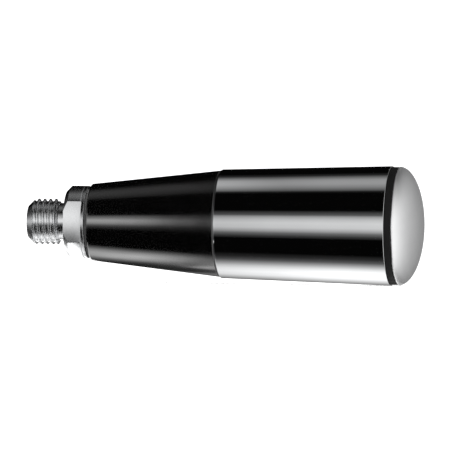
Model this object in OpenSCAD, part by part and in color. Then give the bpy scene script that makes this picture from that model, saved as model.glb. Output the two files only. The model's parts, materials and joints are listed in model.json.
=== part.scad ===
// Revolving machine handle: a threaded spindle held still in a crank or handwheel,
// and a grip that spins round it on two ball bearings.
//
// The axis of the handle is X. The origin is the centre of the flange's seat, the face that
// is pulled against the crank. The stud points to -X and the grip's domed end to +X.
// Outlines of turned pieces are lists of [radius, x] points.

/* [Stud] */
// Major diameter of the stud's thread
stud_d = 10; // [8:0.5:10.5]
// Length of the stud, from the flange's seat to its tip
stud_l = 8.6; // [6:0.2:20]
// Width of the undercut between the thread and the flange
relief_w = 1.6; // [1:0.1:2.5]
// Length of the lead chamfer at the stud's tip
stud_chamfer = 1.5; // [0.5:0.1:2]

/* [Flange] */
// Diameter of the flange
flange_d = 15.8; // [15.6:0.1:16.4]
// Thickness of the flange
flange_t = 4; // [3:0.1:5]
// Distance across the two spanner flats
flats_af = 13; // [12.4:0.1:14.4]
// Chamfer on the edge round the seat
flange_chamfer = 1; // [0.3:0.1:1.2]

/* [Nose sleeve] */
// Diameter of the nose sleeve at its front edge
nose_front_d = 16.7; // [16:0.1:18]
// Diameter of the nose sleeve where it meets the barrel
nose_rear_d = 23.4; // [22.4:0.1:23.6]
// Distance from the seat to the joint between nose sleeve and barrel
joint_x = 33.8; // [28:0.2:36]

/* [Barrel] */
// Diameter of the barrel at its front
barrel_front_d = 23.7; // [22.6:0.1:25]
// Diameter of the barrel at its rear
barrel_rear_d = 26; // [24:0.1:32]
// Distance from the seat to the barrel's rear end
barrel_rear_x = 71.5; // [70:0.5:90]

/* [End cap] */
// Thickness of the gasket between barrel and cap
gasket_t = 1.6; // [0.8:0.1:3]
// Height of the cap's dome
dome_h = 5.2; // [4:0.1:10]

/* [Bearings] */
// Number of balls in the front bearing
front_balls = 11; // [7:1:13]
// Number of balls in the rear bearing
rear_balls = 7; // [5:1:9]

/* [Hidden] */

round_fn = 96;      // fineness of turned pieces
small_fn = 48;      // fineness of grooves, balls and holes
fit = 0.01;         // radial gap of a press or locating fit
slip = 0.02;        // gap between faces that only just clear each other
edge = 0.2;         // ordinary broken edge

// Bearings: [bore, outer diameter, width, ball diameter]
front_bearing = [10, 19, 5, 2.381];
rear_bearing = [8, 19, 6, 3.175];
race_gap = 0.02;    // play between a ball and its grooves
shield_t = 0.25;    // thickness of a shield, and how deep it sits
housing_r = front_bearing[1] / 2;

// Spindle
stud_r = stud_d / 2;
relief_r = stud_r - 0.9;
recess_r = stud_r + 0.4;
recess_depth = 0.3;
flange_r = flange_d / 2;
shank_r = 6;
tail_r = 3;
tail_chamfer = 0.6;
centre_mouth_r = 1.35;    // centre drilling in the stud's tip
centre_pilot_r = 0.7;
centre_cone_l = 1.1;
centre_depth = 2.2;

// Front of the grip
washer_x = flange_t + slip;
washer_t = 0.66;
seal_x = washer_x + washer_t + slip;
nose_x = seal_x + 0.6;
seal_r = 7.15;
seal_depth = 2;
nose_edge_r = 0.7;
nose_throat_r = 6.3;       // bore behind the felt seal
nose_bore_r = 7.3;         // relieved bore behind the throat
nose_shoulder_r = 8.45;    // face that bears on the front outer ring

// Joint between nose sleeve and barrel
spigot_r = 10;
spigot_l = 5.4;
front_bearing_x = joint_x + spigot_l;
barrel_edge = 0.35;

// Rear stack, from the rear bearing to the cap
rear_bearing_x = barrel_rear_x - 12.5;
rear_bearing_end = rear_bearing_x + rear_bearing[2];
circlip_x = rear_bearing_end + 1;
circlip_t = 1;
groove_r = housing_r + 0.5;
clamp_washer_t = 0.8;
clamp_washer_r = 5.1;
nut_x = rear_bearing_end + clamp_washer_t + slip;
nut_af = 10;
nut_hex_h = 4;
nut_h = 5.6;
nut_collar_r = 4.5;
insert_x = nut_x + nut_hex_h - 0.2;
insert_r = 3.8;
spindle_end = nut_x + nut_h + 0.6;

// Cap
cap_x = barrel_rear_x + gasket_t;
cap_spigot_x = circlip_x + circlip_t + 0.6;
cap_spigot_r = housing_r - fit;
cap_bore_r = 6.6;
cap_cavity_end = spindle_end + 1;
dome_r = barrel_rear_d / 2 - 0.08;
o_ring_groove_x = cap_spigot_x + 0.9;
o_ring_groove_w = 1.8;
o_ring_groove_r = housing_r - 1.3;

// ---------------------------------------------------------------- shared shapes

// Turns an outline of [radius, x] points about the X axis.
module turned() rotate([0, 90, 0]) rotate_extrude($fn = round_fn) children();

// A plain tube with its four edges broken.
module tube(x0, x1, r_in, r_out, broken = 0.1) turned() polygon([
    [r_in + broken, x0], [r_out - broken, x0], [r_out, x0 + broken], [r_out, x1 - broken],
    [r_out - broken, x1], [r_in + broken, x1], [r_in, x1 - broken], [r_in, x0 + broken]
]);

// Points of an arc in an outline, from angle a0 to a1, with semi-axes ra across and xa along.
function arc(centre, ra, xa, a0, a1, steps) = [
    for (i = [0:steps])
        let (a = a0 + (a1 - a0) * i / steps)
        [centre[0] + ra * cos(a), centre[1] + xa * sin(a)]
];

// ---------------------------------------------------------------- ball bearing

function pitch_r(b) = (b[0] + b[1]) / 4;
function ball_r(b) = b[3] / 2;
function land_gap(b) = 0.32 * b[3];    // from the pitch circle to either ring's land

// Outline of one ring, with its corners broken, before its groove is cut.
module ring_blank(r_in, r_out, width) polygon([
    [r_in + edge, 0], [r_out - edge, 0], [r_out, edge], [r_out, width - edge],
    [r_out - edge, width], [r_in + edge, width], [r_in, width - edge], [r_in, edge]
]);

module race_groove(b) translate([pitch_r(b), b[2] / 2]) circle(r = ball_r(b) + race_gap, $fn = small_fn);

module inner_ring(b, x) color("gainsboro") translate([x, 0, 0]) turned() difference() {
    ring_blank(b[0] / 2, pitch_r(b) - land_gap(b), b[2]);
    race_groove(b);
}

module outer_ring(b, x) color("gainsboro") translate([x, 0, 0]) turned() difference() {
    ring_blank(pitch_r(b) + land_gap(b), b[1] / 2, b[2]);
    race_groove(b);
    for (x0 = [-1, b[2] - 2 * shield_t])
        translate([0, x0]) square([pitch_r(b) + land_gap(b) + 0.35, 1 + 2 * shield_t]);
}

module balls(b, x, count) color("white") translate([x + b[2] / 2, 0, 0])
    for (i = [0:count - 1]) rotate([i * 360 / count, 0, 0])
        translate([0, 0, pitch_r(b)]) sphere(r = ball_r(b), $fn = small_fn);

// A crown cage: a ring on one side of the balls, open towards the other.
module cage(b, x, count) color("ivory") difference() {
    tube(
        x + b[2] / 2 - 1.35 * ball_r(b), x + b[2] / 2 + 0.6 * ball_r(b),
        pitch_r(b) - 0.22 * b[3], pitch_r(b) + 0.22 * b[3], 0.05
    );
    translate([x + b[2] / 2, 0, 0])
        for (i = [0:count - 1]) rotate([i * 360 / count, 0, 0])
            translate([0, 0, pitch_r(b)]) sphere(r = ball_r(b) + 0.08, $fn = small_fn);
}

module shields(b, x) color("silver")
    for (x0 = [shield_t, b[2] - 2 * shield_t])
        tube(
            x + x0, x + x0 + shield_t,
            pitch_r(b) - land_gap(b) + 0.15, pitch_r(b) + land_gap(b) + 0.35 - fit, 0.03
        );

// ---------------------------------------------------------------- spindle and what it holds still

// One turned piece: stud, flange with spanner flats, shank, two bearing seats and a threaded tail.
module spindle() color("silver") difference() {
    turned() polygon([
        [0, centre_depth - stud_l], [centre_pilot_r, centre_depth - 0.3 - stud_l],
        [centre_pilot_r, centre_cone_l - stud_l], [centre_mouth_r, -stud_l],
        [stud_r - stud_chamfer, -stud_l], [stud_r, stud_chamfer - stud_l],
        [stud_r, -relief_w], [relief_r, -relief_w],
        [relief_r, recess_depth], [recess_r, recess_depth], [recess_r, 0],
        [flange_r - flange_chamfer, 0], [flange_r, flange_chamfer],
        [flange_r, flange_t - edge], [flange_r - edge, flange_t],
        [shank_r, flange_t], [shank_r, front_bearing_x - edge], [shank_r - edge, front_bearing_x],
        [front_bearing[0] / 2 - fit, front_bearing_x],
        [front_bearing[0] / 2 - fit, front_bearing_x + front_bearing[2] - edge],
        [rear_bearing[0] / 2 - fit, front_bearing_x + front_bearing[2] - edge],
        [rear_bearing[0] / 2 - fit, rear_bearing_end - edge],
        [tail_r, rear_bearing_end - edge],
        [tail_r, spindle_end - tail_chamfer], [tail_r - tail_chamfer, spindle_end], [0, spindle_end]
    ]);
    for (side = [-1, 1]) translate([flange_t / 2, side * (flats_af / 2 + flange_r), 0])
        cube([flange_t + 2 * slip, 2 * flange_r, 2 * flange_d], center = true);
}

module thrust_washer() color("lightgray")
    tube(washer_x, washer_x + washer_t, shank_r + 0.05, flange_r, 0.08);

module inner_spacer() color("lightsteelblue")
    tube(
        front_bearing_x + front_bearing[2] + slip, rear_bearing_x - slip,
        rear_bearing[0] / 2 + fit, rear_bearing[0] / 2 + 1.4
    );

module clamp_washer() color("silver")
    tube(rear_bearing_end + slip, rear_bearing_end + clamp_washer_t, tail_r + 0.2, clamp_washer_r, 0.05);

// Prevailing-torque nut: a hexagon with a round collar, bored out at the back for its nylon insert.
module lock_nut() color("silver") difference() {
    union() {
        intersection() {
            translate([nut_x, 0, 0]) rotate([0, 90, 0])
                cylinder(h = nut_hex_h, d = nut_af / cos(30), $fn = 6);
            turned() polygon([
                [0, nut_x], [nut_af / 2 + 0.1, nut_x], [nut_af / 2 + 1, nut_x + 0.5],
                [nut_af / 2 + 1, nut_x + nut_hex_h - 0.5], [nut_af / 2 + 0.1, nut_x + nut_hex_h],
                [0, nut_x + nut_hex_h]
            ]);
        }
        turned() polygon([
            [0, nut_x + 1], [nut_collar_r, nut_x + 1], [nut_collar_r, nut_x + nut_h - 0.6],
            [insert_r + 0.1, nut_x + nut_h], [0, nut_x + nut_h]
        ]);
    }
    translate([nut_x - 1, 0, 0]) rotate([0, 90, 0])
        cylinder(h = nut_h + 2, r = tail_r + slip, $fn = small_fn);
    translate([insert_x, 0, 0]) rotate([0, 90, 0])
        cylinder(h = nut_h, r = insert_r, $fn = small_fn);
}

module nut_insert() color("royalblue")
    tube(insert_x + slip, nut_x + nut_h - 0.2, tail_r + slip, insert_r - fit, 0.05);

// ---------------------------------------------------------------- grip: everything that spins

// A felt ring in the nose sleeve's mouth, which wipes the shank and the thrust washer.
module felt_seal() color("dimgray")
    tube(seal_x, nose_x + seal_depth, shank_r + 0.05, seal_r - fit, 0.05);

module nose_sleeve() color("black") turned() polygon(concat(
    [[seal_r, nose_x]],
    arc([nose_front_d / 2 - nose_edge_r, nose_x + nose_edge_r], nose_edge_r, nose_edge_r, -90, 0, 8),
    [
        [nose_rear_d / 2 - 0.1, joint_x - 0.1], [nose_rear_d / 2 - 0.2, joint_x - slip],
        [spigot_r - fit, joint_x - slip],
        [spigot_r - fit, front_bearing_x - slip - edge], [spigot_r - edge, front_bearing_x - slip],
        [nose_shoulder_r, front_bearing_x - slip], [nose_shoulder_r, front_bearing_x - 1],
        [nose_bore_r, front_bearing_x - 1], [nose_bore_r, nose_x + 7],
        [nose_throat_r, nose_x + 6], [nose_throat_r, nose_x + seal_depth + slip],
        [seal_r, nose_x + seal_depth + slip]
    ]
));

module barrel() color("gainsboro") turned() polygon([
    [spigot_r, joint_x], [barrel_front_d / 2 - barrel_edge, joint_x],
    [barrel_front_d / 2, joint_x + barrel_edge],
    [barrel_rear_d / 2, barrel_rear_x - barrel_edge],
    [barrel_rear_d / 2 - barrel_edge, barrel_rear_x],
    [housing_r + 0.3, barrel_rear_x], [housing_r, barrel_rear_x - 0.3],
    [housing_r, circlip_x + circlip_t + 0.05], [groove_r, circlip_x + circlip_t + 0.05],
    [groove_r, circlip_x - 0.05], [housing_r, circlip_x - 0.05],
    [housing_r, front_bearing_x], [spigot_r, front_bearing_x]
]);

module outer_spacer() color("lightsteelblue")
    tube(
        front_bearing_x + front_bearing[2] + slip, rear_bearing_x - slip,
        housing_r - 1, housing_r - fit
    );

// A spring ring of three shallow waves that presses the rear outer ring forwards.
module wave_washer() color("slategray") {
    steps = 48;
    waves = 3;
    lift = 0.27;
    thick = 0.36;
    middle = rear_bearing_end + 0.48;
    corners = [
        for (i = [0:steps - 1], c = [[7.9, -1], [9.4, -1], [9.4, 1], [7.9, 1]])
            let (a = i * 360 / steps)
            [middle + lift * cos(waves * a) + c[1] * thick / 2, c[0] * cos(a), c[0] * sin(a)]
    ];
    sides = [
        for (i = [0:steps - 1], c = [0:3])
            let (here = 4 * i, next = 4 * ((i + 1) % steps))
            [here + c, here + (c + 1) % 4, next + (c + 1) % 4, next + c]
    ];
    polyhedron(points = corners, faces = sides, convexity = 6);
}

// Internal retaining ring, open at the top, with two eyes for circlip pliers.
module circlip() color("dimgray") translate([circlip_x, 0, 0]) rotate([0, 90, 0])
    linear_extrude(circlip_t) difference() {
        union() {
            difference() {
                circle(r = groove_r - 2 * fit, $fn = round_fn);
                circle(r = groove_r - 1.5, $fn = round_fn);
                polygon([[0, 0], [-20, 20 * tan(14)], [-20, -20 * tan(14)]]);
            }
            circlip_eyes(1.55);
        }
        circlip_eyes(0.75);
    }

// A disc at each end of the circlip, for an eye or for the hole in it.
module circlip_eyes(radius)
    for (side = [-1, 1]) rotate(180 + side * 19)
        translate([groove_r - 2.25, 0]) circle(r = radius, $fn = small_fn);

module cap_gasket() color("black")
    tube(barrel_rear_x + slip, cap_x - slip, housing_r + 0.1, dome_r - 0.1, 0.15);

module cap_o_ring() color("black") turned()
    translate([(o_ring_groove_r + housing_r) / 2, o_ring_groove_x + o_ring_groove_w / 2])
        circle(r = (housing_r - o_ring_groove_r) / 2 - fit, $fn = small_fn);

// Domed plug: its hollow spigot is pressed into the barrel over the nut.
module end_cap() color("whitesmoke") turned() polygon(concat(
    [
        [cap_bore_r, cap_spigot_x], [cap_spigot_r - 0.4, cap_spigot_x],
        [cap_spigot_r, cap_spigot_x + 0.4],
        [cap_spigot_r, o_ring_groove_x], [o_ring_groove_r, o_ring_groove_x],
        [o_ring_groove_r, o_ring_groove_x + o_ring_groove_w],
        [cap_spigot_r, o_ring_groove_x + o_ring_groove_w],
        [cap_spigot_r, cap_x]
    ],
    arc([0, cap_x], dome_r, dome_h, 0, 90, 24),
    [[0, cap_cavity_end], [cap_bore_r, cap_cavity_end - 0.8]]
));

// ---------------------------------------------------------------- nodes

spindle();
thrust_washer();
felt_seal();
nose_sleeve();
barrel();
inner_ring(front_bearing, front_bearing_x);  // front_bearing_inner_ring
outer_ring(front_bearing, front_bearing_x);  // front_bearing_outer_ring
balls(front_bearing, front_bearing_x, front_balls);  // front_bearing_balls
cage(front_bearing, front_bearing_x, front_balls);  // front_bearing_cage
shields(front_bearing, front_bearing_x);  // front_bearing_shields
inner_spacer();
outer_spacer();
inner_ring(rear_bearing, rear_bearing_x);  // rear_bearing_inner_ring
outer_ring(rear_bearing, rear_bearing_x);  // rear_bearing_outer_ring
balls(rear_bearing, rear_bearing_x, rear_balls);  // rear_bearing_balls
cage(rear_bearing, rear_bearing_x, rear_balls);  // rear_bearing_cage
shields(rear_bearing, rear_bearing_x);  // rear_bearing_shields
wave_washer();
circlip();
clamp_washer();
lock_nut();
nut_insert();
cap_gasket();
cap_o_ring();
end_cap();
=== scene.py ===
"""A revolving machine handle lying on a pale studio floor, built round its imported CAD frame.

Lengths in the outlines are millimetres, and every mesh is scaled to metres as it is made.
The handle's axis is X, and an outline is a list of (x, radius) corners that is turned about it.
"""

import json
import math

import bmesh
import bpy
from mathutils import Matrix, Vector


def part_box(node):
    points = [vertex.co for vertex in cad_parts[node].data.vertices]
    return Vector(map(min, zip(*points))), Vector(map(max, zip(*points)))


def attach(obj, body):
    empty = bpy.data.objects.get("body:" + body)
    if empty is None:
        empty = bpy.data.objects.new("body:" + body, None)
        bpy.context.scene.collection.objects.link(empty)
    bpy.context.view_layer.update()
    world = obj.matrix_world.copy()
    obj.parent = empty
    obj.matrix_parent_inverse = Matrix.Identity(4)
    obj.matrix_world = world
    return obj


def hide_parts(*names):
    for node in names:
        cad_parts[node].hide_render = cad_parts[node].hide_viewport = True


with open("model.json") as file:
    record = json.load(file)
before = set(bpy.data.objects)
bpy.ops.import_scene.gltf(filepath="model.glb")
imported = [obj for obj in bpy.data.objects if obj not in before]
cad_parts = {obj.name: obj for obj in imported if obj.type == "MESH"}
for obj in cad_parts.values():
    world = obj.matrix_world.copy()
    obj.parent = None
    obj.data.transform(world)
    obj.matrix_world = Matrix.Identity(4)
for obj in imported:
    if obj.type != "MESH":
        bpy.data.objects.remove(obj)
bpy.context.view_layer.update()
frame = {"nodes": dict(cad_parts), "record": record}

MM = 0.001
AROUND = 256                # columns round a turned piece
FILLET_STEPS = 5            # straight pieces in each rounded corner
SUPPORT = 0.03              # distance from a corner to the extra point beside it
LONGEST = 3.0               # longest straight piece of an outline
DOME_STEPS = 64             # points along the cap's dome
SHARP = math.radians(32)    # edges steeper than this stay crisp


# ------------------------------------------------------------------ places, read from the frame

def span(node):
    """First and last x of a CAD node, and its outer radius, in millimetres."""
    low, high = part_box(node)
    return low.x / MM, high.x / MM, high.z / MM


STUD_TIP, SPINDLE_END, FLANGE_R = span("spindle")
_, FELT_END, FELT_R = span("felt_seal")
NOSE_X, NOSE_END, NOSE_REAR_R = span("nose_sleeve")
BARREL_X, BARREL_END, BARREL_REAR_R = span("barrel")
_, GASKET_END, _ = span("cap_gasket")
CAP_SPIGOT_X, CAP_END, CAP_R = span("end_cap")
FRONT_BEARING_X, FRONT_BEARING_END, HOUSING_R = span("front_bearing_outer_ring")
_, REAR_BEARING_END, _ = span("rear_bearing_outer_ring")
CIRCLIP_X, CIRCLIP_END, GROOVE_R = span("circlip")
ORING_X, ORING_END, _ = span("cap_o_ring")
FLAT_Y = -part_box("spindle")[0].y / MM       # from the axis to a spanner flat
PIECE_GAP = 0.02                            # between faces that touch, so that they don't flicker
CAP_X = GASKET_END + PIECE_GAP
SLOT_OF = {row["node"]: row["material_slot"] for row in frame["record"]["subparts"]}


# ------------------------------------------------------------------ outlines

def rounded(corners, closed=True):
    """Turns (x, radius, fillet) corners of an outline into points, with an arc at each corner.

    A straight stretch gets a point close to each end, which keeps its shading flat.
    """
    count = len(corners)
    arcs = []
    for i, (x, r, fillet) in enumerate(corners):
        here = Vector((x, r))
        if fillet == 0:
            arcs.append([here])
            continue
        to_last = Vector(corners[i - 1][:2]) - here
        to_next = Vector(corners[(i + 1) % count][:2]) - here
        half = to_last.angle(to_next) / 2
        cut = min(fillet / math.tan(half), 0.45 * to_last.length, 0.45 * to_next.length)
        bisector = (to_last.normalized() + to_next.normalized()).normalized()
        centre = here + bisector * (cut / math.cos(half))
        spoke = here + to_last.normalized() * cut - centre
        sweep = (math.pi - 2 * half) * (-1 if to_last.cross(to_next) > 0 else 1)
        turns = [sweep * s / FILLET_STEPS for s in range(FILLET_STEPS + 1)]
        arcs.append([centre + turned_by(spoke, turn) for turn in turns])
    points = list(arcs[0])
    for arc in arcs[1:] + arcs[:1] * closed:
        points += stretch(points[-1], arc[0])
        points += arc
    if closed:
        points = points[:-len(arcs[0])]
    return [(p.x, p.y) for p in points]


def turned_by(vector, angle):
    """The 2-D vector turned by an angle."""
    return Matrix.Rotation(angle, 2) @ vector


def stretch(start, end):
    """Points inside a straight line: one close to each end, and others a few millimetres apart."""
    length = (end - start).length
    if length < 4 * SUPPORT:
        return []
    steps = max(1, math.ceil(length / LONGEST))
    shares = [SUPPORT / length] + [s / steps for s in range(1, steps)] + [1 - SUPPORT / length]
    return [start.lerp(end, share) for share in shares]


def dome(first_x, height, radius, first, steps):
    """Points of an elliptical dome, from an angle just above its rim, in degrees, to its tip."""
    points = []
    for s in range(steps):
        angle = math.radians(first + (90 - first) * s / steps)
        points.append((first_x + height * math.sin(angle), radius * math.cos(angle)))
    return points + [(first_x + height, 0)]


# ------------------------------------------------------------------ meshes

def on_circle(x, radius, column, columns):
    """A point on a circle whose columns start at the side facing -Y and go up over the top."""
    angle = 2 * math.pi * (column % columns) / columns
    return (x, -radius * math.cos(angle), radius * math.sin(angle))


def circle(x, radius, columns=AROUND):
    """A full circle of points, back to the first."""
    return [on_circle(x, radius, i, columns) for i in range(columns + 1)]


def turned_grid(outline, columns=AROUND):
    """One circle for each point of the outline."""
    return [circle(x, r, columns) for x, r in outline]


def welded_mesh(name, grids):
    """One closed mesh from grids of points in millimetres. Points that meet are joined."""
    places, index, faces = [], {}, []

    def vertex(point):
        key = tuple(round(c, 5) + 0.0 for c in point)
        if key not in index:
            index[key] = len(places)
            places.append([c * MM for c in point])
        return index[key]

    for grid in grids:
        rows = [[vertex(point) for point in row] for row in grid]
        for row, following in zip(rows, rows[1:]):
            for i in range(len(row) - 1):
                face = []
                for corner in (row[i], row[i + 1], following[i + 1], following[i]):
                    if corner not in face:
                        face.append(corner)
                if len(face) > 2:
                    faces.append(face)
    mesh = bpy.data.meshes.new(name)
    mesh.from_pydata(places, [], faces)
    work = bmesh.new()
    work.from_mesh(mesh)
    bmesh.ops.recalc_face_normals(work, faces=work.faces)
    work.to_mesh(mesh)
    work.free()
    mesh.shade_smooth()
    mesh.set_sharp_from_angle(angle=SHARP)
    return mesh


def add_piece(name, mesh, body, node, material):
    """Puts a finished mesh in the scene in place of a CAD node, riding on that node's body."""
    piece = bpy.data.objects.new(name, mesh)
    bpy.context.scene.collection.objects.link(piece)
    piece.data.materials.append(material)
    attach(piece, body)
    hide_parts(node)
    return piece


# ------------------------------------------------------------------ shader helpers

def link(tree, value, socket):
    """Feeds a socket with another node's output, or with a number."""
    if isinstance(value, (int, float)):
        socket.default_value = value
    else:
        tree.links.new(value, socket)


def maths(tree, operation, *values):
    """The result of a Math node on numbers or on other nodes' outputs."""
    made = tree.nodes.new("ShaderNodeMath")
    made.operation = operation
    for socket, value in zip(made.inputs, values):
        link(tree, value, socket)
    return made.outputs[0]


class Shader:
    """A material's node tree with short ways to add nodes. Places are in the handle's frame, in mm."""

    def __init__(self, name, metallic, colour, roughness):
        self.material = bpy.data.materials.new(name)
        self.material.use_nodes = True
        self.tree = self.material.node_tree
        self.surface = self.tree.nodes["Principled BSDF"]
        self.surface.inputs["Metallic"].default_value = metallic
        self.surface.inputs["Base Color"].default_value = (*colour, 1)
        self.surface.inputs["Roughness"].default_value = roughness
        place = self.node("ShaderNodeTexCoord").outputs["Object"]
        scaled = self.node("ShaderNodeVectorMath", operation="SCALE")
        self.tree.links.new(place, scaled.inputs[0])
        scaled.inputs["Scale"].default_value = 1 / MM
        self.place = scaled.outputs[0]
        split = self.node("ShaderNodeSeparateXYZ")
        self.tree.links.new(self.place, split.inputs[0])
        self.x, self.y, self.z = split.outputs
        y_squared = self.maths("MULTIPLY", self.y, self.y)
        z_squared = self.maths("MULTIPLY", self.z, self.z)
        self.radius = self.maths("SQRT", self.maths("ADD", y_squared, z_squared))
        self.angle = self.maths("ARCTAN2", self.z, self.y)

    def node(self, kind, **settings):
        made = self.tree.nodes.new(kind)
        for key, value in settings.items():
            setattr(made, key, value)
        return made

    def maths(self, operation, *values):
        return maths(self.tree, operation, *values)

    def between(self, value, low, high, to_low, to_high):
        """Maps value from low..high to to_low..to_high, held at both ends."""
        made = self.node("ShaderNodeMapRange", clamp=True)
        for socket, number in zip(made.inputs, (value, low, high, to_low, to_high)):
            link(self.tree, number, socket)
        return made.outputs[0]

    def noise(self, scale, detail=3.0, stretch=(1, 1, 1), place=None):
        """Noise from 0 to 1. Scale is in features per millimetre."""
        vector = self.node("ShaderNodeVectorMath", operation="MULTIPLY")
        self.tree.links.new(place or self.place, vector.inputs[0])
        vector.inputs[1].default_value = stretch
        made = self.node("ShaderNodeTexNoise")
        self.tree.links.new(vector.outputs[0], made.inputs["Vector"])
        made.inputs["Scale"].default_value = scale
        made.inputs["Detail"].default_value = detail
        return made.outputs["Fac"]

    def rings(self, along, scale, detail=2.0):
        """Noise that only changes along one measure, such as x or the radius: a tool's marks."""
        joined = self.node("ShaderNodeCombineXYZ")
        link(self.tree, along, joined.inputs[0])
        link(self.tree, self.maths("MULTIPLY", self.angle, 0.02), joined.inputs[1])
        return self.noise(scale, detail, place=joined.outputs[0])

    def shade(self, fac, dark, light):
        """Mixes two colours by fac into the base colour."""
        blend = self.node("ShaderNodeMix", data_type="RGBA")
        link(self.tree, fac, blend.inputs["Factor"])
        blend.inputs["A"].default_value = (*dark, 1)
        blend.inputs["B"].default_value = (*light, 1)
        self.tree.links.new(blend.outputs["Result"], self.surface.inputs["Base Color"])

    def rough(self, fac, low, high):
        """Varies the roughness with fac, a noise that seldom leaves 0.25..0.75."""
        share = self.between(fac, 0.25, 0.75, low, high)
        self.tree.links.new(share, self.surface.inputs["Roughness"])

    def bump(self, height, depth_mm, strength=1.0):
        """Raises the surface by height times depth_mm."""
        made = self.node("ShaderNodeBump")
        made.inputs["Strength"].default_value = strength
        made.inputs["Distance"].default_value = depth_mm * MM
        link(self.tree, height, made.inputs["Height"])
        self.tree.links.new(made.outputs["Normal"], self.surface.inputs["Normal"])


def grey(value, tint=0.0):
    """A grey with a little blue for a positive tint."""
    return (value * (1 - tint), value, value * (1 + tint))


# ------------------------------------------------------------------ materials of what shows

def polished_chrome():
    """Bright plate: almost a mirror, with faint polishing lines and finger smudges."""
    s = Shader("polished_chrome", 1.0, grey(0.66, 0.01), 0.05)
    smudge = s.noise(0.16, 4.0, stretch=(1, 1.6, 1.6))
    lines = s.rings(s.x, 9.0)
    s.shade(smudge, grey(0.63, 0.01), grey(0.68, 0.01))
    s.rough(smudge, 0.035, 0.075)
    s.bump(s.maths("ADD", s.maths("MULTIPLY", lines, 0.6), smudge), 0.0006)
    return s.material


def black_anodised():
    """Polished black sleeve: a deep, glossy skin with hairlines round it and a slight haze."""
    s = Shader("black_anodised", 0.0, grey(0.001), 0.1)
    s.surface.inputs["IOR"].default_value = 2.1
    s.surface.inputs["Coat Weight"].default_value = 0.3
    s.surface.inputs["Coat Roughness"].default_value = 0.05
    haze = s.noise(0.2, 4.0)
    lines = s.rings(s.x, 7.0)
    s.shade(haze, grey(0.0004), grey(0.0014))
    s.rough(haze, 0.08, 0.14)
    s.bump(lines, 0.0008)
    return s.material


def turned_steel(name="turned_steel", value=0.72, rough_low=0.2, rough_high=0.3, depth=0.002):
    """Steel off the lathe: fine feed lines on its rounds and faces, and slight stains."""
    s = Shader(name, 1.0, grey(value, 0.01), rough_low)
    stain = s.noise(0.35, 5.0)
    along = s.rings(s.maths("ADD", s.x, s.radius), 6.0)
    s.shade(stain, grey(value * 0.88, 0.01), grey(value * 1.05, 0.01))
    s.rough(s.maths("MULTIPLY", s.maths("ADD", stain, along), 0.5), rough_low, rough_high)
    s.bump(along, depth)
    return s.material


def satin_aluminium():
    """Turned and satin anodised: rings that follow the radius, broad soft highlights."""
    s = Shader("satin_aluminium", 1.0, grey(0.86, 0.005), 0.36)
    cloud = s.noise(0.25, 4.0)
    rings = s.rings(s.radius, 4.0, 3.0)
    s.shade(cloud, grey(0.8, 0.005), grey(0.9, 0.005))
    s.rough(rings, 0.32, 0.42)
    s.bump(rings, 0.003)
    return s.material


def nitrile_rubber():
    """Moulded black rubber with a fine matt grain and a little dust."""
    s = Shader("nitrile_rubber", 0.0, grey(0.004), 0.6)
    s.surface.inputs["Specular IOR Level"].default_value = 0.15
    grain = s.noise(7.0, 3.0)
    dust = s.noise(0.6, 5.0)
    s.shade(dust, grey(0.002), grey(0.006))
    s.rough(dust, 0.5, 0.72)
    s.bump(grain, 0.012)
    return s.material


def wool_felt():
    """Pressed felt: matted fibres with a soft sheen."""
    s = Shader("wool_felt", 0.0, grey(0.05), 0.95)
    s.surface.inputs["Sheen Weight"].default_value = 0.4
    fibres = s.noise(9.0, 6.0, stretch=(1, 0.35, 0.35))
    tufts = s.noise(2.2, 3.0)
    s.shade(fibres, grey(0.028), grey(0.085))
    s.bump(s.maths("ADD", fibres, tufts), 0.06)
    return s.material


# ------------------------------------------------------------------ materials of what is inside

def ground_steel(name, value, rough_low, rough_high):
    """Steel with finer, shallower marks than the lathe leaves."""
    return turned_steel(name, value, rough_low, rough_high, 0.001)


def lapped_steel():
    """Bearing balls: near mirrors with faint lapping marks."""
    s = Shader("lapped_steel", 1.0, grey(0.72, 0.01), 0.06)
    marks = s.noise(6.0, 4.0)
    s.shade(marks, grey(0.68, 0.01), grey(0.75, 0.01))
    s.rough(marks, 0.04, 0.09)
    s.bump(marks, 0.0004)
    return s.material


def moulded_nylon(name, dark, light):
    """Nylon: waxy, slightly clouded, with a fine moulded grain."""
    s = Shader(name, 0.0, light, 0.42)
    s.surface.inputs["Subsurface Weight"].default_value = 0.1
    s.surface.inputs["Subsurface Radius"].default_value = (0.0008, 0.0006, 0.0004)
    cloud = s.noise(0.8, 3.0)
    grain = s.noise(12.0, 2.0)
    s.shade(cloud, dark, light)
    s.rough(cloud, 0.36, 0.5)
    s.bump(grain, 0.004)
    return s.material


def phosphated_steel():
    """Spring steel with a crystalline, matt black phosphate skin."""
    s = Shader("phosphated_steel", 0.6, grey(0.05), 0.55)
    crystals = s.noise(14.0, 5.0)
    s.shade(crystals, grey(0.03), grey(0.085, 0.02))
    s.rough(crystals, 0.45, 0.68)
    s.bump(crystals, 0.006)
    return s.material


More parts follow.
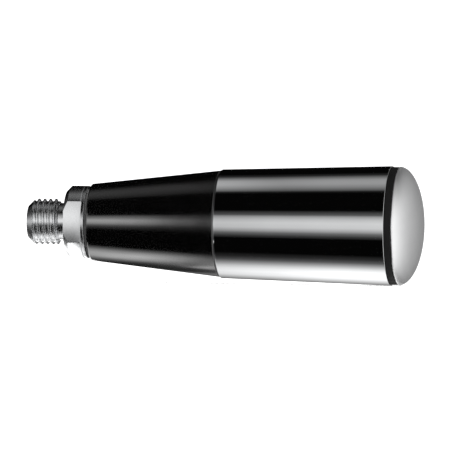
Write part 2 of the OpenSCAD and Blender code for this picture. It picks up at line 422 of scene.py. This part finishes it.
INSIDE = {
    "bearing_steel": lambda: ground_steel("bearing_steel", 0.66, 0.12, 0.2),
    "ball_steel": lapped_steel,
    "cage_nylon": lambda: moulded_nylon("cage_nylon", (0.7, 0.64, 0.5), (0.84, 0.8, 0.68)),
    "shield_steel": lambda: ground_steel("shield_steel", 0.55, 0.22, 0.34),
    "spacer_steel": lambda: ground_steel("spacer_steel", 0.5, 0.26, 0.38),
    "washer_steel": lambda: ground_steel("washer_steel", 0.6, 0.2, 0.3),
    "spring_steel": lambda: ground_steel("spring_steel", 0.34, 0.25, 0.35),
    "circlip_black": phosphated_steel,
    "nut_zinc": lambda: ground_steel("nut_zinc", 0.68, 0.16, 0.28),
    "nut_nylon": lambda: moulded_nylon("nut_nylon", (0.03, 0.1, 0.42), (0.05, 0.15, 0.55)),
    "gasket_rubber": nitrile_rubber,
}


def finish_inside():
    """Gives every CAD node that no piece replaces the material of its slot."""
    made = {}
    for node, part in frame["nodes"].items():
        if part.hide_render:
            continue
        slot = SLOT_OF[node]
        if slot not in made:
            made[slot] = INSIDE[slot]()
        part.data.materials.clear()
        part.data.materials.append(made[slot])


# ------------------------------------------------------------------ spindle

STUD_R = 5.0
STUD_PITCH = 1.25
TIP_CHAMFER = 1.5
RELIEF_X = -1.6
RELIEF_R = 4.1
RECESS_R = 5.4
RECESS_DEPTH = 0.3
RECESS_EDGE = 0.05
FLANGE_T = 4.0
FLANGE_CHAMFER = 1.0
SHANK_R = 6.0
FRONT_SEAT_R = 4.99     # where the bearings' inner rings sit
REAR_SEAT_R = 3.99
TAIL_X = REAR_BEARING_END - 0.2
TAIL_R = 3.0
TAIL_PITCH = 1.0
CENTRE_R = 1.35
SPINDLE_AROUND = 192
ROWS_PER_TURN = 32
FLAT_COLUMNS = 18       # from the middle of a spanner flat to its rounded edge
CORNER_COLUMNS = 22     # from the middle of a spanner flat to the start of the round
CORNER_R = 0.15         # radius of the edge between flat and round


def thread_depth(phase):
    """Depth below the crest of a 60 degree thread, in pitches. Phase 0 is the crest and 0.5 the root.

    It is shallower and blunter than a standard thread, which goes 0.61 of its pitch deep.
    """
    crest_half = 0.09
    root_depth = 0.42
    from_crest = abs((phase + 0.5) % 1.0 - 0.5)
    return min(max((from_crest - crest_half) * math.sqrt(3), 0), root_depth)


def softened_depth(phase):
    """The depth with its corners eased, as on a cut thread."""
    reach = 1 / 32
    return sum(thread_depth(phase + reach * k / 2) for k in range(-2, 3)) / 5


def threaded_grid(x_from, x_to, crest_r, pitch, r_from, r_to, slope_from, slope_to):
    """A right-hand thread between two planes, running down to a plain circle at each of them.

    Rows follow the helix, so crests and roots are clean lines. Past the planes the rows gather there.
    """
    turns = math.ceil((x_to - x_from) / pitch) + 1
    grid = []
    for j in range(turns * ROWS_PER_TURN + 1):
        profile_r = crest_r - pitch * softened_depth(j % ROWS_PER_TURN / ROWS_PER_TURN)
        row = []
        for i in range(SPINDLE_AROUND + 1):
            turn = (j - i * ROWS_PER_TURN / SPINDLE_AROUND) / ROWS_PER_TURN
            x = min(max(x_from + pitch * turn, x_from), x_to)
            radius = min(profile_r, r_from + (x - x_from) * slope_from, r_to + (x_to - x) * slope_to)
            row.append(on_circle(x, radius, i, SPINDLE_AROUND))
        grid.append(row)
    return grid


def flatted_quarter(radius):
    """A quarter of the flange's section, from the middle of a spanner flat to the top of the round."""
    across = FLAT_Y - CORNER_R
    up = math.sqrt((radius - CORNER_R) ** 2 - across ** 2)
    turn = math.atan2(up, across)
    quarter = [(FLAT_Y, up * i / FLAT_COLUMNS) for i in range(FLAT_COLUMNS)]
    for i in range(CORNER_COLUMNS - FLAT_COLUMNS):
        angle = turn * i / (CORNER_COLUMNS - FLAT_COLUMNS)
        quarter.append((across + CORNER_R * math.cos(angle), up + CORNER_R * math.sin(angle)))
    rest = SPINDLE_AROUND // 4 - CORNER_COLUMNS
    for i in range(rest + 1):
        angle = turn + (math.pi / 2 - turn) * i / rest
        quarter.append((radius * math.cos(angle), radius * math.sin(angle)))
    return quarter


def flatted_circle(x, radius):
    """A full turn of the flange's section, with the same columns as the spindle's circles."""
    quarter = flatted_quarter(radius)
    steps = len(quarter) - 1
    points = []
    for i in range(4 * steps + 1):
        turn, step = divmod(i, steps)
        across, up = quarter[steps - step if turn % 2 else step]
        points.append((x, across if turn in (1, 2) else -across, -up if turn in (2, 3) else up))
    return points


def flange_grid():
    """The flange's faces and rim, between a circle on the seat and a circle on its back."""
    shares = [s / 10 for s in range(1, 10)]
    chamfer = [(FLANGE_CHAMFER * s, FLANGE_R - FLANGE_CHAMFER * (1 - s)) for s in shares]
    corners = [(0, FLANGE_R - FLANGE_CHAMFER, 0.06)]
    corners += [(x, r, 0) for x, r in chamfer]
    corners += [(FLANGE_CHAMFER, FLANGE_R, 0.06), (FLANGE_T, FLANGE_R, 0.2)]
    inner_r = FLAT_Y + 0.1
    rim = rounded([(0, inner_r, 0)] + corners + [(FLANGE_T, inner_r, 0)], closed=False)
    seat = circle(0, RECESS_R + RECESS_EDGE, SPINDLE_AROUND)
    back = circle(FLANGE_T, SHANK_R, SPINDLE_AROUND)
    return [seat] + [flatted_circle(x, r) for x, r in rim] + [back]


def spindle_mesh():
    """Threaded stud, flange with spanner flats, and the shank that runs inside the grip."""
    tip_r = STUD_R - TIP_CHAMFER
    pilot_r = 0.7
    pilot_x = STUD_TIP + 1.1
    pilot_end = STUD_TIP + 1.9
    drill_point = STUD_TIP + 2.2
    edge = 0.06
    stud_tip = [
        (drill_point, 0), (pilot_end, pilot_r), (pilot_x, pilot_r),
        (STUD_TIP + edge, CENTRE_R - edge), (STUD_TIP, CENTRE_R + edge), (STUD_TIP, tip_r)
    ]
    undercut = [
        (RELIEF_X, RELIEF_R), (RECESS_DEPTH, RELIEF_R), (RECESS_DEPTH, RECESS_R),
        (RECESS_EDGE, RECESS_R), (0, RECESS_R + RECESS_EDGE)
    ]
    chamfer = 0.2
    step_x = FRONT_BEARING_END - 0.2
    tail_start_r = TAIL_R - 0.6
    tail_end_r = TAIL_R - 0.8
    shank = [
        (FLANGE_T, SHANK_R), (FRONT_BEARING_X - chamfer, SHANK_R), (FRONT_BEARING_X, SHANK_R - chamfer),
        (FRONT_BEARING_X, FRONT_SEAT_R), (step_x, FRONT_SEAT_R), (step_x, REAR_SEAT_R),
        (TAIL_X, REAR_SEAT_R), (TAIL_X, tail_start_r)
    ]
    return welded_mesh("spindle_threaded", [
        turned_grid(stud_tip, SPINDLE_AROUND),
        threaded_grid(STUD_TIP, RELIEF_X, STUD_R, STUD_PITCH, tip_r, RELIEF_R, 1.0, math.sqrt(3)),
        turned_grid(undercut, SPINDLE_AROUND),
        flange_grid(),
        turned_grid(shank, SPINDLE_AROUND),
        threaded_grid(TAIL_X, SPINDLE_END, TAIL_R, TAIL_PITCH, tail_start_r, tail_end_r, 1.0, 1.0),
        turned_grid([(SPINDLE_END, tail_end_r), (SPINDLE_END, 0)], SPINDLE_AROUND),
    ])


# ------------------------------------------------------------------ grip

RING_BORE_R = 6.05      # of the washer and the felt seal, round the spindle's shank


def nose_outline():
    """Black sleeve: a rounded mouth, a straight taper, and a hidden spigot that enters the barrel."""
    front_r = 8.35
    spigot_r = 9.99
    shoulder_r = 8.45
    bore_r = 7.3
    throat_r = 6.3
    mouth_r = FELT_R + 0.01
    mouth_end = FELT_END + PIECE_GAP
    throat_end = NOSE_X + 6
    bore_x = NOSE_X + 7
    shoulder_x = NOSE_END - 1
    joint = BARREL_X - PIECE_GAP
    chamfer = 0.1
    return rounded([
        (NOSE_X, mouth_r, 0.15), (NOSE_X, front_r, 0.4), (joint - chamfer, NOSE_REAR_R, 0.06),
        (joint, NOSE_REAR_R - chamfer, 0.05), (joint, spigot_r, 0.05),
        (NOSE_END, spigot_r, 0.2), (NOSE_END, shoulder_r, 0), (shoulder_x, shoulder_r, 0),
        (shoulder_x, bore_r, 0), (bore_x, bore_r, 0), (throat_end, throat_r, 0),
        (mouth_end, throat_r, 0), (mouth_end, mouth_r, 0)
    ])


def barrel_outline():
    """Chromed barrel: a slight taper outside, a bore for the bearings and a circlip groove inside."""
    front_r = 11.85
    spigot_bore_r = 10.0
    bore_r = HOUSING_R
    groove_r = GROOVE_R + PIECE_GAP
    groove_x = CIRCLIP_X - 0.05
    groove_end = CIRCLIP_END + 0.05
    edge = 0.35
    bore_chamfer = 0.3
    return rounded([
        (BARREL_X, spigot_bore_r, 0.05), (BARREL_X, front_r - edge, 0.04),
        (BARREL_X + edge, front_r, 0.08),
        (BARREL_END, BARREL_REAR_R, 0.09),
        (BARREL_END, bore_r + bore_chamfer, 0), (BARREL_END - bore_chamfer, bore_r, 0),
        (groove_end, bore_r, 0), (groove_end, groove_r, 0), (groove_x, groove_r, 0), (groove_x, bore_r, 0),
        (FRONT_BEARING_X, bore_r, 0), (FRONT_BEARING_X, spigot_bore_r, 0)
    ])


def cap_outline():
    """Domed cap with a hollow spigot, grooved for its O-ring. It starts and ends on the axis."""
    spigot_r = HOUSING_R - 0.01
    groove_w = 1.8
    groove_x = (ORING_X + ORING_END - groove_w) / 2
    groove_end = groove_x + groove_w
    groove_r = 8.2
    bore_r = 6.6
    cavity = SPINDLE_END + 1
    cone_depth = 0.8
    chamfer = 0.4
    rim_ease = 0.12
    rim_angle = 2
    spigot = rounded([
        (cavity, 0, 0), (cavity - cone_depth, bore_r, 0.2), (CAP_SPIGOT_X, bore_r, 0.1),
        (CAP_SPIGOT_X, spigot_r - chamfer, 0.05), (CAP_SPIGOT_X + chamfer, spigot_r, 0.05),
        (groove_x, spigot_r, 0.05), (groove_x, groove_r, 0.1),
        (groove_end, groove_r, 0.1), (groove_end, spigot_r, 0.05),
        (CAP_X, spigot_r, 0.05), (CAP_X, CAP_R - rim_ease, 0)
    ], closed=False)
    return spigot + dome(CAP_X, CAP_END - CAP_X, CAP_R, rim_angle, DOME_STEPS)


def lathe(name, outline):
    """A closed turned piece from a closed outline, or from one that starts and ends on the axis."""
    on_axis = outline[0][1] == 0
    return welded_mesh(name, [turned_grid(outline if on_axis else outline + outline[:1])])


def ring_outline(node, bore_r, fillet):
    """A plain ring that fills its CAD node's length, with eased edges."""
    start, end, outer_r = span(node)
    return rounded([
        (start, bore_r, fillet), (start, outer_r, fillet), (end, outer_r, fillet), (end, bore_r, fillet)
    ])


# ------------------------------------------------------------------ studio

TENT_R = 0.25
TENT_ENDS = (-0.15, 0.066)
WORLD_STRIPS_X = -110       # the world left of the tent has the bands that the strips have here, in mm

WALL_BY_BEARING = [(0, 1.2), (40, 1.15), (62, 1), (104, 0.72), (138, 0.42), (166, 0.2), (180, 0.15)]
WALL_BY_HEIGHT = [(0, 1), (0.3, 0.95), (0.6, 0.8), (0.85, 0.6), (1, 0.4)]
OVERHEAD_GAP = [(35, 1), (60, 0.85), (85, 0.72), (105, 0.72), (130, 0.95), (150, 1)]
FADE_OFF_AXIS = [(0, 1), (0.1, 0.6), (0.2, 0.2), (0.3, 0.05), (0.6, 0.02)]

# Strip lights along the handle. Across: share of full brightness by height round the axis in degrees,
# where 0 is the front, 90 overhead and -90 below. Along: brightness by x in millimetres.
# In the main view the flange sees the part of the tent near x = -40. The nose tapers, so it sees the part
# left of that, and the barrel sees the part right of it.
STRIPS = {
    "front_for_nose": (
        [(-21, 0), (-13, 0.08), (-8, 0.25), (-3, 0.7), (3, 0.97), (6, 1), (9, 0.75), (13, 0.45),
         (17, 0.28), (21, 0)],
        [(-110, 2.2), (-98, 2.2), (-89, 2.5), (-81, 1.4), (-76, 0.5), (-60, 0)]
    ),
    "front_for_barrel": (
        [(-28, 0), (-23, 0.06), (-17, 0.22), (-12.6, 0.55), (-6, 0.93), (3, 1), (9, 0.85),
         (12.6, 0.68), (16, 0.48), (19, 0.14), (28, 0)],
        [(-62, 0), (-52, 1.1), (-45, 1.2), (-42, 1.7), (-37, 1.7), (-26, 0.74), (-20, 0.77),
         (-7, 0.88), (8, 0.94), (40, 1)]
    ),
    "overhead": (
        [(65, 0), (69, 0.03), (73, 0.33), (80, 0.7), (88, 0.98), (94, 1), (100, 0.9), (108, 0.42),
         (115, 0.06), (124, 0)],
        [(-90, 0.26), (-68, 0.19), (-53, 0.17), (-46, 0.08), (-36, 0.04), (-27, 0.2), (-19, 0.6),
         (-2, 0.4), (11, 0.46), (60, 0.46)]
    ),
    "below_for_nose": (
        [(-178, 0.04), (-150, 0.08), (-138, 0.12), (-126, 0.3), (-118, 0.6), (-110, 0.85),
         (-100, 1), (-89, 0.72), (-80, 0.25), (-72, 0)],
        [(-90, 1.8), (-72, 2.0), (-63, 2.8), (-54, 1.6), (-50, 0.75), (-46, 0.5), (-30, 0.5),
         (-25, 0)]
    ),
    "below_for_flange": (
        [(-126, 0), (-114, 1), (-76, 1), (-62, 0)],
        [(-42.5, 0), (-41, 1.8), (-37, 1.8), (-35, 0)]
    ),
    "below_for_barrel": (
        [(-178, 0.1), (-163, 0.14), (-150, 0.3), (-140, 0.52), (-128, 0.84), (-114, 1), (-104, 0.9),
         (-96, 0.68), (-90, 0.44), (-84, 0.24), (-78, 0.08), (-70, 0.02), (-60, 0)],
        [(-30, 0), (-24, 1.1), (-12, 1.28), (1, 1.5), (14, 1.8), (60, 1.8)]
    ),
}


def ramp(tree, measure, stops):
    """A number that follows a measure through (measure, number) stops, held at both ends."""
    low, high = stops[0][0], stops[-1][0]
    share = tree.nodes.new("ShaderNodeMapRange")
    link(tree, measure, share.inputs["Value"])
    share.inputs["From Min"].default_value = low
    share.inputs["From Max"].default_value = high
    made = tree.nodes.new("ShaderNodeValToRGB")
    tree.links.new(share.outputs[0], made.inputs["Fac"])
    elements = made.color_ramp.elements
    elements[0].position = 0
    elements[1].position = 1
    for value, _ in stops[1:-1]:
        elements.new((value - low) / (high - low))
    for element, (_, number) in zip(elements, stops):
        element.color = (number, number, number, 1)
    return made.outputs["Color"]


def mix(tree, share, first, second):
    """first where the share is 0, second where it is 1."""
    made = tree.nodes.new("ShaderNodeMix")
    for socket, value in zip(made.inputs, (share, None, first, second)):
        if value is not None:
            link(tree, value, socket)
    return made.outputs[0]


def split_place(tree, kind):
    """x, -y and z of a texture coordinate, and the height round the handle's axis in degrees."""
    split = tree.nodes.new("ShaderNodeSeparateXYZ")
    tree.links.new(tree.nodes.new("ShaderNodeTexCoord").outputs[kind], split.inputs[0])
    x, y, z = split.outputs
    forward = maths(tree, "MULTIPLY", y, -1)
    return x, forward, z, maths(tree, "DEGREES", maths(tree, "ARCTAN2", z, forward))


def strip_light(tree, height, along):
    """The brightness of all the strips together."""
    total = 0.002
    for across, lengthwise in STRIPS.values():
        strip = maths(tree, "MULTIPLY", ramp(tree, height, across), ramp(tree, along, lengthwise))
        total = maths(tree, "ADD", total, strip)
    return total


def add_sheet_of_light(name, places, faces, brightness):
    """A glowing sheet that only glossy rays see. brightness(tree, x, z, height) is its strength."""
    mesh = bpy.data.meshes.new(name)
    mesh.from_pydata(places, [], faces)
    glow = bpy.data.materials.new(name)
    glow.use_nodes = True
    glow.cycles.emission_sampling = "NONE"
    tree = glow.node_tree
    tree.nodes.clear()
    x, _, z, height = split_place(tree, "Object")
    emission = tree.nodes.new("ShaderNodeEmission")
    strength = brightness(tree, maths(tree, "DIVIDE", x, MM), maths(tree, "DIVIDE", z, MM), height)
    link(tree, strength, emission.inputs["Strength"])
    output = tree.nodes.new("ShaderNodeOutputMaterial")
    tree.links.new(emission.outputs[0], output.inputs["Surface"])
    mesh.materials.append(glow)
    sheet = bpy.data.objects.new(name, mesh)
    bpy.context.scene.collection.objects.link(sheet)
    sheet.visible_camera = False
    sheet.visible_diffuse = False
    sheet.visible_transmission = False
    sheet.visible_shadow = False


def light_tent():
    """A short tube of light round the handle, seen as bands along the grip."""
    columns = 48
    angles = [2 * math.pi * i / columns for i in range(columns)]
    ring = [(math.cos(a) * TENT_R, math.sin(a) * TENT_R) for a in angles]
    places = [(x, y, z) for x in TENT_ENDS for y, z in ring]
    faces = []
    for i in range(columns):
        following = (i + 1) % columns
        faces.append((i, following, columns + following, columns + i))

    def brightness(tree, x, z, height):
        return strip_light(tree, height, x)

    add_sheet_of_light("light_tent", places, faces, brightness)


def stud_card():
    """A small card close to the stud and the flange. It fades downwards, so the spanner flat does too."""
    outline = ((-11, -6), (2.5, -6), (2.5, 5.5), (-2.6, 5.5), (-2.6, 13), (-11, 13))
    card_y = -15
    places = [(x * MM, card_y * MM, z * MM) for x, z in outline]
    fade = [(-6, 0), (-4.6, 0.06), (-3.4, 0.2), (-2.2, 0.45), (-1, 0.95), (0.5, 1.2), (2, 1.15),
            (4, 0.9), (13, 0.35)]

    def brightness(tree, x, z, height):
        return ramp(tree, z, fade)

    add_sheet_of_light("stud_card", places, [range(len(outline))], brightness)


def flange_card():
    """A card under the flange that makes its lower side white. A wing does the same for its chamfer."""
    outline = ((-1.2, -11), (0.4, -11), (2.5, -2), (2.5, 24), (-22, 24), (-22, 10), (-1.2, 10))
    card_z = -14
    places = [(x * MM, y * MM, card_z * MM) for x, y in outline]

    def brightness(tree, x, z, height):
        return 2.2

    add_sheet_of_light("flange_card", places, [range(len(outline))], brightness)


def studio_world():
    """White surroundings. Past the ends of the tent, what is polished sees softer, dimmer light."""
    world = bpy.data.worlds.new("studio")
    bpy.context.scene.world = world
    world.use_nodes = True
    world.cycles.sampling_method = "NONE"
    tree = world.node_tree
    x, forward, z, height = split_place(tree, "Generated")
    bearing = maths(tree, "DEGREES", maths(tree, "ARCTAN2", x, forward))
    wall = maths(tree, "MULTIPLY", ramp(tree, bearing, WALL_BY_BEARING), ramp(tree, z, WALL_BY_HEIGHT))
    gap = mix(tree, ramp(tree, x, [(0.7, 0), (0.88, 1)]), ramp(tree, height, OVERHEAD_GAP), 1.0)
    right = maths(tree, "MULTIPLY", wall, gap)
    off_axis = maths(tree, "ABSOLUTE", z)
    near_axis = maths(tree, "MULTIPLY", ramp(tree, off_axis, FADE_OFF_AXIS), 0.8)
    strips = strip_light(tree, height, WORLD_STRIPS_X)
    left = mix(tree, ramp(tree, x, [(-0.8, 1), (-0.65, 0)]), strips, near_axis)
    seen = mix(tree, ramp(tree, x, [(-0.16, 0), (-0.02, 1)]), left, right)
    path = tree.nodes.new("ShaderNodeLightPath")
    shown = mix(tree, path.outputs["Is Glossy Ray"], 1.5, seen)
    link(tree, shown, tree.nodes["Background"].inputs["Strength"])
    tree.nodes["Background"].inputs["Color"].default_value = (1, 1, 1, 1)


def add_light(name, place, aim, size, watts):
    """A round soft light that no polished surface shows."""
    lamp = bpy.data.lights.new(name, "AREA")
    lamp.shape = "DISK"
    lamp.size = size
    lamp.energy = watts
    light = bpy.data.objects.new(name, lamp)
    bpy.context.scene.collection.objects.link(light)
    light.location = place
    light.rotation_euler = (Vector(aim) - Vector(place)).to_track_quat("-Z", "Y").to_euler()
    light.visible_glossy = False
    light.visible_camera = False


def add_floor():
    """A plain pale floor that the barrel's rear rests on. Polished surfaces don't see it."""
    mesh = bpy.data.meshes.new("floor")
    half = 4.0
    z = -BARREL_REAR_R * MM
    corners = [(-half, -half, z), (half, -half, z), (half, half, z), (-half, half, z)]
    mesh.from_pydata(corners, [], [(0, 1, 2, 3)])
    floor = bpy.data.objects.new("floor", mesh)
    bpy.context.scene.collection.objects.link(floor)
    paper = bpy.data.materials.new("floor_paper")
    paper.use_nodes = True
    surface = paper.node_tree.nodes["Principled BSDF"]
    surface.inputs["Base Color"].default_value = (0.95, 0.95, 0.95, 1)
    surface.inputs["Roughness"].default_value = 1.0
    surface.inputs["Specular IOR Level"].default_value = 0.0
    mesh.materials.append(paper)
    floor.visible_glossy = False


def add_camera():
    """A very long lens at the handle's height, turned a little toward the domed end."""
    aim = Vector((34.7, 0, -0.26)) * MM
    distance = 2.5
    frame_width = 0.09795
    azimuth = math.radians(9.5)
    roll = math.radians(0.74)
    lens = bpy.data.cameras.new("camera")
    lens.sensor_width = 36
    lens.lens = lens.sensor_width * distance / frame_width
    lens.clip_start = 0.01
    camera = bpy.data.objects.new("camera", lens)
    bpy.context.scene.collection.objects.link(camera)
    back = Vector((math.sin(azimuth), -math.cos(azimuth), 0))
    camera.location = aim + back * distance
    facing = (-back).to_track_quat("-Z", "Y")
    camera.rotation_euler = (facing.to_matrix() @ Matrix.Rotation(roll, 3, "Z")).to_euler()
    bpy.context.scene.camera = camera


# ------------------------------------------------------------------ the whole scene

def build_handle():
    """Every visible piece, in place of its CAD node, and finishes for the CAD nodes inside."""
    add_piece("spindle_threaded", spindle_mesh(), "spindle", "spindle", turned_steel())
    washer_face = turned_steel("washer_face", 0.62, 0.2, 0.3, 0.0015)
    for name, node, body, bore_r, fillet, material in (
        ("thrust_washer_ring", "thrust_washer", "spindle", RING_BORE_R, 0.1, washer_face),
        ("felt_seal_ring", "felt_seal", "grip", RING_BORE_R, 0.12, wool_felt()),
        ("cap_gasket_ring", "cap_gasket", "grip", HOUSING_R + 0.1, 0.2, nitrile_rubber()),
    ):
        add_piece(name, lathe(name, ring_outline(node, bore_r, fillet)), body, node, material)
    for name, node, outline, material in (
        ("nose_sleeve_tapered", "nose_sleeve", nose_outline(), black_anodised()),
        ("barrel_chromed", "barrel", barrel_outline(), polished_chrome()),
        ("end_cap_domed", "end_cap", cap_outline(), satin_aluminium()),
    ):
        add_piece(name, lathe(name, outline), "grip", node, material)
    finish_inside()


build_handle()
light_tent()
stud_card()
flange_card()
studio_world()
add_floor()
add_light("soft_key", (0.1, -0.5, 0.9), (0.035, 0, 0), 0.8, 6)
add_camera()
bpy.context.scene.view_settings.view_transform = "Standard"
